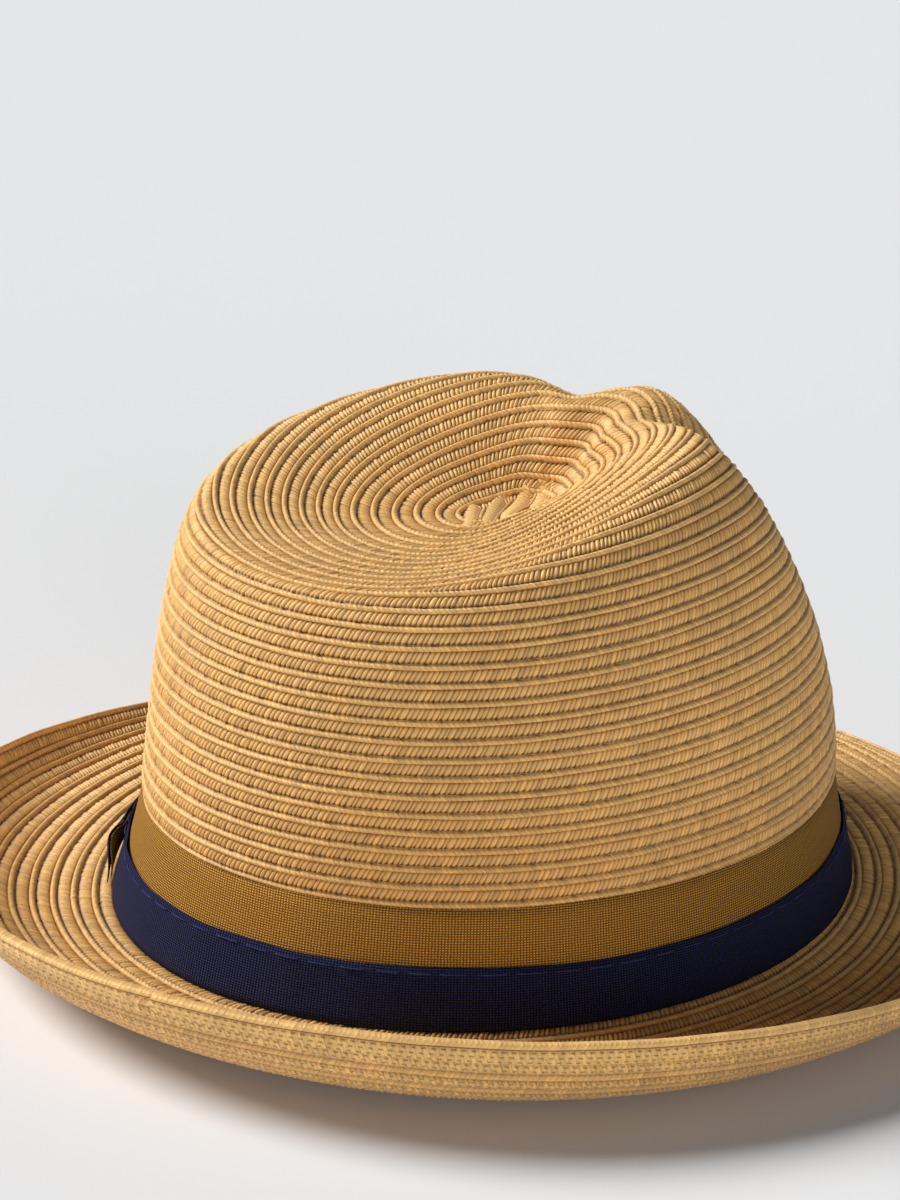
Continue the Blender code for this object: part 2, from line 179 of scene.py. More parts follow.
KNOT_PLEAT = 0.00018
KNOT_FULL = (0.0003, 0.0004)
KNOT_WEAVE_RADIUS_MM = 83.0

# Inside
SWEAT_THICK = 0.0011
SWEAT_TOP = 0.0030
SWEAT_BOTTOM = -0.0286
SWEAT_STITCH_UP = -0.0262
SWEAT_STITCH_DASH = (0.0034, 0.0012)
SWEAT_STITCH_RADIUS = 0.00020
LABEL_AT = math.radians(158.0)
LABEL_WIDTH = 0.020
LABEL_DROP = 0.026
LABEL_TOP = -0.0030
LABEL_INSET = 0.0055
LABEL_THICK = 0.0005
LABEL_BEND = 0.0004
TAPE_WIDTH = 0.0120
TAPE_THICK = 0.0006
TAPE_INSET = 0.0015

# Camera, from behind the wearer's right
CAMERA_ROUND = 0.80
CAMERA_DOWN = 0.3406
CAMERA_ROLL = 0.0570
CAMERA_DISTANCE = 0.760
CAMERA_AIM_UP = 0.0475
CAMERA_YAW = 0.01620
CAMERA_PITCH = 0.00457
CAMERA_LENS = 88.74

# Studio: each lamp is its direction, energy, soft angle in degrees and colour
ROOM_LIGHT = (0.84, 0.98, 1.16, 1.0)
ROOM_STRENGTH = 0.09
BACKDROP = (0.77, 0.77, 0.77, 1.0)
FLOOR_COLOUR = (0.830, 0.818, 0.806, 1.0)
FLOOR_HALF = 6
LAMPS = (
    ((0.680, 0.415, 0.605), 4.17, 26.0, (0.99, 1.0, 1.01)),
    ((-0.880, 0.460, 0.15), 1.22, 38.0, (0.98, 0.99, 1.02)),
    ((-0.446, 0.895, 0.14), 0.30, 24.0, (0.99, 1.0, 1.01)),
)

# Colours
# The two darker straw colours are painted shade: the straw darkens towards them in grooves, valleys and
# holes; STRAW_LIGHT is its colour on open crests
STRAW_LIGHT = (0.93, 0.555, 0.175, 1.0)
STRAW_HALF_SHADE = (0.61, 0.30, 0.068, 1.0)
STRAW_DEEP_SHADE = (0.075, 0.028, 0.007, 1.0)
STRAW_DASH = (0.20, 0.080, 0.018, 1.0)
STITCH_COLOUR = (0.60, 0.37, 0.16, 1.0)
MUSTARD_GROUND = (0.27, 0.098, 0.006, 1.0)
MUSTARD_DOT = (1.0, 0.575, 0.115, 1.0)
NAVY_GROUND = (0.0045, 0.0042, 0.014, 1.0)
NAVY_DOT = (0.044, 0.056, 0.21, 1.0)
NAVY_THREAD = (0.030, 0.045, 0.17, 1.0)
COTTON = (0.60, 0.55, 0.45, 1.0)
PALE_THREAD = (0.72, 0.62, 0.42, 1.0)
LABEL_CLOTH = (0.82, 0.81, 0.78, 1.0)


def series(terms, theta):
    """Mean value plus cos(n theta) terms."""
    return sum(term * np.cos(n * theta) for n, term in enumerate(terms))


def bump_at(theta, centre, spread):
    """A smooth hump of height 1 about an angle."""
    away = (theta - centre + math.pi) % (2.0 * math.pi) - math.pi
    return np.exp(-(away / spread) ** 2)


def cubic(a, b, c, d, t):
    """A Bezier curve from a to d."""
    return a * (1 - t) ** 3 + 3 * b * t * (1 - t) ** 2 + 3 * c * t ** 2 * (1 - t) + d * t ** 3


def smooth(low, high, x):
    """0 below low, 1 above high, with an even ease between."""
    t = np.clip((x - low) / (high - low), 0.0, 1.0)
    return t * t * (3.0 - 2.0 * t)


def flattening(theta):
    """How far the head oval is pressed in behind the wearer's left."""
    return FLAT_IN * bump_at(theta, FLAT_ANGLE, FLAT_SPREAD)


def wall_offset(up):
    """How far the wall stands off the head oval: it flares towards the brim and leans in above."""
    drop = np.maximum(-np.asarray(up, float), 0.0) / -BRIM_LEVEL
    rise = np.maximum(np.asarray(up, float), 0.0)
    return BASE_FLARE * drop ** FLARE_POWER - WALL_LEAN * rise


def ring(theta, offset, up):
    """Points standing off the head oval by offset at a height; the arguments broadcast."""
    theta, offset, up = np.broadcast_arrays(theta, offset, up)
    offset = offset - flattening(theta)
    normal_f = np.cos(theta) / OVAL_HALF_LENGTH
    normal_l = np.sin(theta) / OVAL_HALF_WIDTH
    size = np.hypot(normal_f, normal_l)
    front = OVAL_HALF_LENGTH * np.cos(theta) + offset * normal_f / size
    left = OVAL_HALF_WIDTH * np.sin(theta) + offset * normal_l / size
    return np.stack([front, left, up], axis=-1)


def to_world(points):
    """Hat terms (front, left, up) to the CAD frame."""
    return np.stack([points[..., 1] - CENTRE_LEFT, CENTRE_FRONT - points[..., 0],
                     points[..., 2] - FLOOR_LEVEL], axis=-1)


def unit(v):
    return v / np.maximum(np.linalg.norm(v, axis=-1, keepdims=True), 1e-12)


class Surface:
    """A sheet of the hat by angle and braid row; rows count towards the tip."""

    def __init__(self, points, first_row, row_step):
        self.points = points
        self.first_row = first_row
        self.row_step = row_step
        around = np.empty_like(points)
        around[:, 1:-1] = points[:, 2:] - points[:, :-2]
        around[:, 0] = around[:, -1] = points[:, 1] - points[:, -2]
        self.normals = unit(np.cross(around, np.gradient(points, axis=0)))

    def look(self, theta, row):
        rows, columns = self.points.shape[:2]
        x = np.mod(theta, 2.0 * math.pi) / (2.0 * math.pi) * (columns - 1)
        y = np.clip((row - self.first_row) / self.row_step, 0.0, rows - 1.001)
        i = np.minimum(x.astype(int), columns - 2)
        j = y.astype(int)
        a = (x - i)[..., None]
        b = (y - j)[..., None]
        both = []
        for table in (self.points, self.normals):
            low = table[j, i] * (1 - a) + table[j, i + 1] * a
            high = table[j + 1, i] * (1 - a) + table[j + 1, i + 1] * a
            both.append(low * (1 - b) + high * b)
        return both[0], unit(both[1])


def crown_surface():
    """The wall, rim, pinches and dent, with rows one braid wide up to the tip."""
    theta = np.linspace(0.0, 2.0 * math.pi, 1441)
    t = np.linspace(0.0, 1.0, 160)[:, None]
    pinch = bump_at(np.abs((theta + math.pi) % (2 * math.pi) - math.pi), PINCH_ANGLE, PINCH_SPREAD)
    slump = bump_at(theta, SLUMP_ANGLE, SLUMP_SPREAD)
    reach = series(RIM_REACH, theta) - PINCH_IN * pinch + SLUMP_OUT * slump
    rim = series(RIM_HEIGHT, theta) - PINCH_DOWN * pinch - SLUMP_DOWN * slump
    hold = series(WALL_HOLD, theta)
    shoulder = reach + series(SHOULDER_HOLD, theta)
    wide = OVAL_HALF_WIDTH - flattening(theta)
    wall_w = cubic(wide, wide - hold * math.sin(WALL_LEAN), shoulder, reach, t)
    wall_h = cubic(0.0, hold * math.cos(WALL_LEAN), rim, rim, t)
    dent_hold = series(DENT_HOLD, theta) * (1.0 - 0.4 * pinch)
    dent_w = cubic(reach, reach - dent_hold, series(TIP_HOLD, theta), 0.0, t)
    dent_h = cubic(rim, rim, TIP_HEIGHT, TIP_HEIGHT, t)
    w = np.concatenate([wall_w, dent_w[1:]])
    h = np.concatenate([wall_h, dent_h[1:]])
    length = np.hypot(np.diff(w, axis=0), np.diff(h, axis=0))
    along = np.concatenate([np.zeros((1, len(theta))), np.cumsum(length, axis=0)])
    rows = np.arange(0.0, ROWS_TO_CENTRE, 0.1)
    share = rows / ROWS_TO_CENTRE
    reach = np.stack([np.interp(share * a[-1], a, v) for a, v in zip(along.T, w.T)], axis=1)
    height = np.stack([np.interp(share * a[-1], a, v) for a, v in zip(along.T, h.T)], axis=1)
    squeeze = np.clip(reach / OVAL_HALF_WIDTH, 0.03, 1.0)
    core = (OVAL_HALF_LENGTH - OVAL_HALF_WIDTH) * np.cos(theta) / np.sqrt(
        np.cos(theta) ** 2 + squeeze * np.sin(theta) ** 2)
    core = core * (0.45 + 0.55 * smooth(0.0, 0.032, reach))
    upper = np.stack([core + reach * np.cos(theta), reach * np.sin(theta), height], axis=-1)
    up = (np.arange(-60, 0) * 0.1 * ROW_PITCH)[:, None]
    lower = ring(theta[None], wall_offset(up), up)
    return Surface(np.concatenate([lower, upper]), -6.0, 0.1)


def brim_surface():
    """The brim from the crown out to its edge, flat at the front and curling up elsewhere."""
    theta = np.linspace(0.0, 2.0 * math.pi, 721)
    step = 0.05
    rows = np.arange(-0.4, BRIM_ROWS + 0.3, step)
    share = rows / BRIM_ROWS
    width = BRIM_WIDTH + BRIM_WIDTH_FRONT * np.cos(theta) + BRIM_WIDTH_LEFT * np.sin(theta)
    width = width + flattening(theta)
    start = series(BRIM_START_SLOPE, theta)
    end = series(BRIM_END_SLOPE, theta) + BRIM_END_LEFT * np.sin(theta)
    middle = 0.5 * (share[1:] + share[:-1])[:, None]
    slopes = start + (end - start) * np.maximum(middle, 0.0) ** BRIM_CURL_POWER
    length = width * step / BRIM_ROWS
    out = np.concatenate([np.zeros((1, 721)), np.cumsum(np.cos(slopes) * length, axis=0)])
    up = np.concatenate([np.zeros((1, 721)), np.cumsum(np.sin(slopes) * length, axis=0)])
    zero = int(round(0.4 / step))
    out -= out[zero]
    up += BRIM_LEVEL - up[zero]
    above = (up - FLOOR_LEVEL - BRAID_THICK) / FLOOR_SOFTNESS
    up = FLOOR_LEVEL + BRAID_THICK + FLOOR_SOFTNESS * np.logaddexp(0.0, above)
    points = ring(theta[None], BASE_FLARE + out, up)
    return Surface(points[::-1].copy(), -rows[-1], step)


# Meshes

def skin(name, points, finish, closed=False, body="hat", nodes=(), slot=None, **layers):
    """A closed body through sections; points are (section, round the section, 3) in hat terms."""
    n, m = points.shape[:2]
    mesh = bpy.data.meshes.new(name)
    mesh.vertices.add(n * m)
    mesh.vertices.foreach_set("co", to_world(points).astype(np.float32).ravel())
    i = np.arange(n if closed else n - 1)[:, None]
    j = np.arange(m)[None]
    k = (j + 1) % m
    after = (i + 1) % n
    quads = np.stack([i * m + j, i * m + k, after * m + k, after * m + j], axis=-1).reshape(-1)
    caps = [] if closed else [np.arange(m)[::-1], (n - 1) * m + np.arange(m)]
    loops = np.concatenate([quads] + caps)
    starts = np.concatenate([np.arange(0, len(quads), 4)] + [
        [len(quads) + c * m] for c in range(len(caps))]).astype(np.int32)
    mesh.loops.add(len(loops))
    mesh.loops.foreach_set("vertex_index", loops.astype(np.int32))
    mesh.polygons.add(len(starts))
    mesh.polygons.foreach_set("loop_start", starts)
    mesh.update(calc_edges=True)
    mesh.validate()
    mesh.shade_smooth()
    for layer, values in layers.items():
        flat = np.asarray(values, np.float32)
        if flat.ndim == 3:
            made = mesh.attributes.new(layer, "FLOAT_VECTOR", "POINT")
            made.data.foreach_set("vector", flat.ravel())
        else:
            made = mesh.attributes.new(layer, "FLOAT", "POINT")
            made.data.foreach_set("value", flat.ravel())
    mesh.materials.append(finish)
    made = bpy.data.objects.new(name, mesh)
    SCENE.collection.objects.link(made)
    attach(made, body)
    if nodes:
        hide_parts(*nodes)
    return made


def tube_points(path, radius, sides=5):
    """Sections of a round thread along an open path."""
    tangent = unit(np.gradient(path, axis=0))
    across = unit(np.cross(tangent, (0.0, 0.0, 1.0)))
    upward = np.cross(across, tangent)
    angle = np.arange(sides) * 2.0 * math.pi / sides
    cosine = np.cos(angle)[None, :, None]
    sine = np.sin(angle)[None, :, None]
    circle = cosine * across[:, None] - sine * upward[:, None]
    return path[:, None] + np.reshape(radius, (-1, 1, 1)) * circle


# Materials

class Nodes:
    """Short names for building one material."""

    def __init__(self, name, roughness, specular=0.35, sheen=0.0):
        self.material = bpy.data.materials.get(name) or bpy.data.materials.new(name)
        self.material.use_nodes = True
        self.tree = self.material.node_tree
        self.tree.nodes.clear()
        self.out = self.add("ShaderNodeOutputMaterial")
        self.surface = self.add("ShaderNodeBsdfPrincipled")
        self.surface.inputs["Roughness"].default_value = roughness
        self.surface.inputs["Specular IOR Level"].default_value = specular
        self.surface.inputs["Sheen Weight"].default_value = sheen
        self.link(self.surface.outputs[0], self.out.inputs[0])

    def add(self, kind):
        return self.tree.nodes.new(kind)

    def link(self, a, b):
        self.tree.links.new(a, b)

    def put(self, socket, value):
        if isinstance(value, (int, float, tuple)):
            socket.default_value = value
        else:
            self.link(value, socket)

    def math(self, operation, a, b=0.0, c=0.0):
        node = self.add("ShaderNodeMath")
        node.operation = operation
        for socket, value in zip(node.inputs, (a, b, c)):
            self.put(socket, value)
        return node.outputs[0]

    def attribute(self, name):
        node = self.add("ShaderNodeAttribute")
        node.attribute_name = name
        return node

    def parts(self, vector):
        node = self.add("ShaderNodeSeparateXYZ")
        self.link(vector, node.inputs[0])
        return node.outputs

    def vector(self, x, y, z):
        node = self.add("ShaderNodeCombineXYZ")
        for socket, value in zip(node.inputs, (x, y, z)):
            self.put(socket, value)
        return node.outputs[0]

    def noise(self, vector, scale, detail=3.0):
        node = self.add("ShaderNodeTexNoise")
        self.link(vector, node.inputs["Vector"])
        node.inputs["Scale"].default_value = scale
        node.inputs["Detail"].default_value = detail
        return node.outputs["Fac"]

    def mix(self, share, a, b, kind="MIX"):
        node = self.add("ShaderNodeMix")
        node.data_type = "RGBA"
        node.blend_type = kind
        node.clamp_result = False
        self.put(node.inputs[0], share)
        self.put(node.inputs[6], a)
        self.put(node.inputs[7], b)
        return node.outputs[2]

    def ranged(self, value, low, high, to_low, to_high):
        node = self.add("ShaderNodeMapRange")
        for socket, number in zip(node.inputs, (value, low, high, to_low, to_high)):
            self.put(socket, number)
        return node.outputs[0]

    def tint(self, colour, bright):
        """The base colour is colour times a grey."""
        grey = self.vector(bright, bright, bright)
        self.put(self.surface.inputs["Base Color"], self.mix(1.0, colour, grey, "MULTIPLY"))

    def bump(self, height, distance, strength=1.0):
        node = self.add("ShaderNodeBump")
        node.inputs["Strength"].default_value = strength
        node.inputs["Distance"].default_value = distance
        self.link(height, node.inputs["Height"])
        self.link(node.outputs[0], self.surface.inputs["Normal"])


def straw_material(name):
    """Straw: painted shade in the grooves, strand valleys and stitch holes, with fine fibres, and rows of
    short dark dashes underneath.
    """
    n = Nodes(name, 0.5, 0.55, 0.16)
    along, across, tone = n.parts(n.attribute("lay").outputs["Vector"])
    cavity = n.attribute("cavity").outputs["Fac"]
    stretched = n.vector(n.math("MULTIPLY", along, 7.0), n.math("MULTIPLY", across, 0.9), tone)
    fibre = n.noise(stretched, 1.0, 4.0)
    cloud = n.noise(n.add("ShaderNodeNewGeometry").outputs["Position"], 45.0, 3.0)
    # painted shade: the per-point openness darkens the straw from its crest colour towards the two shade
    # colours
    colour = n.mix(n.ranged(cavity, 0.0, 0.45, 0.0, 1.0), STRAW_DEEP_SHADE, STRAW_HALF_SHADE)
    colour = n.mix(n.ranged(cavity, 0.45, 1.0, 0.0, 1.0), colour, STRAW_LIGHT)
    lane = n.math("MULTIPLY", across, 0.95)
    wave = n.math("ABSOLUTE", n.math("COSINE", n.math("MULTIPLY", lane, math.pi)))
    line = n.math("POWER", wave, 7.0)
    turn = n.math("MULTIPLY", n.math("ROUND", lane), 2.3)
    dash = n.math("SINE", n.math("ADD", n.math("MULTIPLY", along, 2.0 * math.pi / 2.2), turn))
    dashes_here = n.math("MULTIPLY", line, n.ranged(dash, -0.2, 0.5, 0.0, 1.0))
    dashes_here = n.math("MULTIPLY", dashes_here, n.attribute("under").outputs["Fac"])
    colour = n.mix(n.math("MULTIPLY", dashes_here, 0.70), colour, STRAW_DASH)
    fibre_tone = n.ranged(fibre, 0.25, 0.75, 0.84, 1.14)
    strand_tone = n.ranged(tone, 0.0, 1.0, 0.82, 1.16)
    bright = n.math("MULTIPLY", fibre_tone, strand_tone)
    bright = n.math("MULTIPLY", bright, n.ranged(cloud, 0.3, 0.7, 0.95, 1.05))
    n.tint(colour, bright)
    n.put(n.surface.inputs["Roughness"], n.ranged(fibre, 0.3, 0.7, 0.40, 0.60))
    n.bump(n.math("SUBTRACT", fibre, n.math("MULTIPLY", dashes_here, 1.2)), 0.00022, 0.8)
    return n.material


def ribbon_material(name, base, dot, dot_share):
    """Grosgrain: rows of tiny raised dots, at a pitch in millimetres, over a darker ground."""
    pitch = (0.76, 0.60)
    n = Nodes(name, 0.75, 0.12, 0.02)
    along, up, tone = n.parts(n.attribute("lay").outputs["Vector"])
    wobble = n.ranged(n.noise(n.vector(along, up, tone), 0.5, 2.0), 0.0, 1.0, -0.12, 0.12)
    x = n.math("MULTIPLY", n.math("ADD", along, wobble), math.pi / pitch[0])
    y = n.math("MULTIPLY", up, math.pi / pitch[1])
    first = n.math("ABSOLUTE", n.math("SINE", x))
    second = n.math("ABSOLUTE", n.math("SINE", y))
    weave = n.math("MULTIPLY", n.math("POWER", first, 0.8), n.math("POWER", second, 0.8))
    finer = n.vector(n.math("MULTIPLY", along, 2.0), n.math("MULTIPLY", up, 2.0), tone)
    fleck = n.noise(finer, 1.3, 3.0)
    dots = n.ranged(weave, 0.35, 0.95, 0.0, 1.0)
    mixed = n.math("MULTIPLY", dots, n.ranged(fleck, 0.3, 0.7, 0.5, 1.0))
    colour = n.mix(n.math("MULTIPLY", mixed, dot_share), base, dot)
    n.put(n.surface.inputs["Base Color"], colour)
    n.bump(n.math("ADD", weave, n.math("MULTIPLY", fleck, 0.35)), 0.00045, 0.9)
    return n.material


def cloth_material(name, base, pitch, depth):
    """Plain cloth with a fine diagonal twill."""
    n = Nodes(name, 0.85, 0.2, 0.1)
    along, up, tone = n.parts(n.attribute("lay").outputs["Vector"])
    twill = n.math("SINE", n.math("MULTIPLY", n.math("ADD", along, up), 2.0 * math.pi / pitch))
    fleck = n.noise(n.vector(along, up, tone), 1.7, 4.0)
    ribs = n.ranged(twill, -1.0, 1.0, 0.90, 1.0)
    n.tint(base, n.math("ADD", ribs, n.ranged(fleck, 0.3, 0.7, -0.05, 0.05)))
    n.bump(n.math("ADD", n.math("MULTIPLY", twill, 0.5), fleck), depth, 0.6)
    return n.material


def thread_material(name, base, roughness=0.5, specular=0.4):
    """Sewing thread, mottled along its length."""
    n = Nodes(name, roughness, specular, 0.05)
    place = n.add("ShaderNodeTexCoord").outputs["Object"]
    fleck = n.noise(place, 1500.0, 2.0)
    n.tint(base, n.ranged(fleck, 0.3, 0.7, 0.75, 1.15))
    n.bump(fleck, 0.0001, 0.5)
    return n.material


# Camera, light and floor

def add_camera():
    """The photo's view: placed on a sphere round the hat, then turned, tilted and rolled a little."""
    d = np.array([math.cos(CAMERA_ROUND) * math.cos(CAMERA_DOWN),
                  math.sin(CAMERA_ROUND) * math.cos(CAMERA_DOWN), -math.sin(CAMERA_DOWN)])
    place = np.array([0.0, 0.0, CAMERA_AIM_UP]) - CAMERA_DISTANCE * d
    r = unit(np.cross(d, (0.0, 0.0, 1.0)))
    u = np.cross(r, d)
    ahead = d * math.cos(CAMERA_PITCH) - u * math.sin(CAMERA_PITCH)
    up = u * math.cos(CAMERA_PITCH) + d * math.sin(CAMERA_PITCH)
    look = ahead * math.cos(CAMERA_YAW) - r * math.sin(CAMERA_YAW)
    right = r * math.cos(CAMERA_YAW) + ahead * math.sin(CAMERA_YAW)
    side = right * math.cos(CAMERA_ROLL) + up * math.sin(CAMERA_ROLL)
    top = up * math.cos(CAMERA_ROLL) - right * math.sin(CAMERA_ROLL)
    turned = [(v[1], -v[0], v[2]) for v in (side, top, -look)]
    matrix = Matrix(turned).transposed().to_4x4()
    matrix.translation = to_world(place)
    data = bpy.data.cameras.new("view")
    data.lens = CAMERA_LENS
    data.sensor_width = 36.0
    data.clip_start = 0.01
    camera = bpy.data.objects.new("view", data)
    camera.matrix_world = matrix
    SCENE.collection.objects.link(camera)
    SCENE.camera = camera


def add_lamp(direction, energy, angle, colour):
    """A distant soft lamp that shines from a direction in the CAD frame."""
    data = bpy.data.lights.new("soft_light", "SUN")
    data.energy = energy
    data.angle = math.radians(angle)
    data.color = colour
    lamp = bpy.data.objects.new("soft_light", data)
    z = unit(np.array(direction, float))
    x = unit(np.cross((0.0, 0.0, 1.0), z))
    y = np.cross(z, x)
    lamp.matrix_world = Matrix([x.tolist(), y.tolist(), z.tolist()]).transposed().to_4x4()
    SCENE.collection.objects.link(lamp)


def add_studio():
    """Room light, a pale backdrop that only the camera sees, soft lamps and the floor."""
    world = bpy.data.worlds.new("studio")
    world.use_nodes = True
    tree = world.node_tree
    tree.nodes.clear()
    room = tree.nodes.new("ShaderNodeBackground")
    room.inputs["Color"].default_value = ROOM_LIGHT
    room.inputs["Strength"].default_value = ROOM_STRENGTH
    backdrop = tree.nodes.new("ShaderNodeBackground")
    backdrop.inputs["Color"].default_value = BACKDROP
    seen = tree.nodes.new("ShaderNodeLightPath").outputs["Is Camera Ray"]
    either = tree.nodes.new("ShaderNodeMixShader")
    tree.links.new(seen, either.inputs[0])
    tree.links.new(room.outputs[0], either.inputs[1])
    tree.links.new(backdrop.outputs[0], either.inputs[2])
    tree.links.new(either.outputs[0], tree.nodes.new("ShaderNodeOutputWorld").inputs[0])
    SCENE.world = world
    for lamp in LAMPS:
        add_lamp(*lamp)
    mesh = bpy.data.meshes.new("floor")
    corners = [(x * FLOOR_HALF, y * FLOOR_HALF, 0) for x, y in ((-1, -1), (1, -1), (1, 1), (-1, 1))]
    mesh.from_pydata(corners, [], [(0, 1, 2, 3)])
    floor = bpy.data.objects.new("floor", mesh)
    n = Nodes("studio_floor", 0.9, 0.0)
    n.surface.inputs["Base Color"].default_value = FLOOR_COLOUR
    mesh.materials.append(n.material)
    SCENE.collection.objects.link(floor)


# Braid

# Round the braid's section, from the edge towards the tip: share of a row, height and strand
# relief in millimetres, how open the place is (0 hidden in a groove, 1 on a crest), which sets
# its painted shade, and how much painted shade falls between strands.
BRAID_SECTION = np.array([
    (1.00, -0.34, 0.05, 0.10, 0.3),
    (0.94, 0.12, 0.24, 0.45, 0.80),
    (0.83, 0.38, 0.33, 0.90, 0.80),
    (0.64, 0.46, 0.36, 1.00, 0.76),
    (0.47, 0.42, 0.36, 0.94, 0.84),
    (0.375, 0.14, 0.38, 0.64, 0.97),
    (0.305, -0.14, 0.20, 0.34, 0.97),
    (0.255, 0.28, 0.08, 0.62, 0.55),
    (0.19, 0.80, 0.11, 1.00, 0.35),
    (0.09, 0.96, 0.12, 1.00, 0.35),
    (0.00, 0.78, 0.11, 0.95, 0.35),
    (-0.045, 0.26, 0.05, 0.45, 0.2),
    (-0.04, -0.25, 0.03, 0.10, 0.1),
    (0.05, -0.95, 0.06, 0.60, 0.3),
    (0.20, -1.28, 0.11, 0.92, 0.3),
    (0.33, -1.04, 0.06, 0.36, 0.7),
    (0.50, -1.36, 0.14, 0.92, 0.4),
    (0.72, -1.42, 0.14, 0.95, 0.4),
    (0.90, -1.15, 0.10, 0.55, 0.4),
])

# The doubled round that wraps the brim's edge, in the same columns, its openness also setting painted
# shade
EDGE_SECTION = np.array([
    (1.03, -0.10, 0.03, 0.10, 0.3),
    (1.00, 0.26, 0.14, 0.45, 0.8),
    (0.88, 0.60, 0.28, 0.90, 0.8),
    (0.68, 0.70, 0.32, 1.00, 0.76),
    (0.48, 0.60, 0.30, 0.92, 0.84),
    (0.375, 0.26, 0.32, 0.60, 0.97),
    (0.305, 0.02, 0.16, 0.32, 0.97),
    (0.255, 0.40, 0.06, 0.66, 0.5),
    (0.18, 0.80, 0.10, 1.00, 0.4),
    (0.08, 0.90, 0.11, 1.00, 0.4),
    (0.00, 0.80, 0.10, 1.00, 0.3),
    (-0.034, 0.55, 0.08, 1.00, 0.3),
    (-0.042, 0.10, 0.05, 0.92, 0.3),
    (-0.042, -0.45, 0.05, 0.92, 0.3),
    (-0.040, -1.00, 0.06, 0.96, 0.3),
    (-0.010, -1.44, 0.07, 1.00, 0.3),
    (0.08, -1.66, 0.08, 1.00, 0.3),
    (0.18, -1.50, 0.06, 0.92, 0.3),
    (0.23, -1.10, 0.02, 0.04, 0.5),
    (0.29, -1.36, 0.05, 0.85, 0.3),
    (0.42, -1.52, 0.06, 0.96, 0.3),
    (0.60, -1.55, 0.06, 0.96, 0.3),
    (0.78, -1.50, 0.06, 0.94, 0.3),
    (0.92, -1.20, 0.05, 0.30, 0.3),
])


def lean(share):
    """How far the strands slant along the braid: one way above the groove, the other on the ridge."""
    above = np.maximum(share - GROOVE_AT, 0.0) / (1.0 - GROOVE_AT)
    below = np.maximum(GROOVE_AT - share, 0.0) / (GROOVE_AT + 0.06)
    return LEAN_STRANDS * above + LEAN_RIDGE * below


class Course:
    """The braid's path: angle and row of its lower edge by length along it."""

    def __init__(self, surface, turn_start, turn_end, row_at):
        self.surface = surface
        self.row_at = row_at
        self.turns = np.linspace(turn_start, turn_end, int(900 * (turn_end - turn_start)) + 2)
        points, _ = surface.look(2.0 * math.pi * self.turns, row_at(self.turns) + 0.45)
        steps = np.linalg.norm(np.diff(points, axis=0), axis=1)
        self.length = np.concatenate([[0.0], np.cumsum(steps)])

    def place(self, along, share, height):
        turn = np.interp(along, self.length, self.turns)
        row = self.row_at(turn) + share
        points, normals = self.surface.look(2.0 * math.pi * turn, row)
        return points + normals * np.asarray(height)[..., None], row


def wander(along, size, lengths, rng):
    """A smooth random wave along the braid."""
    total = sum(np.sin(along / reach + rng.uniform(0.0, 6.28)) for reach in lengths)
    return size * total / math.sqrt(len(lengths))


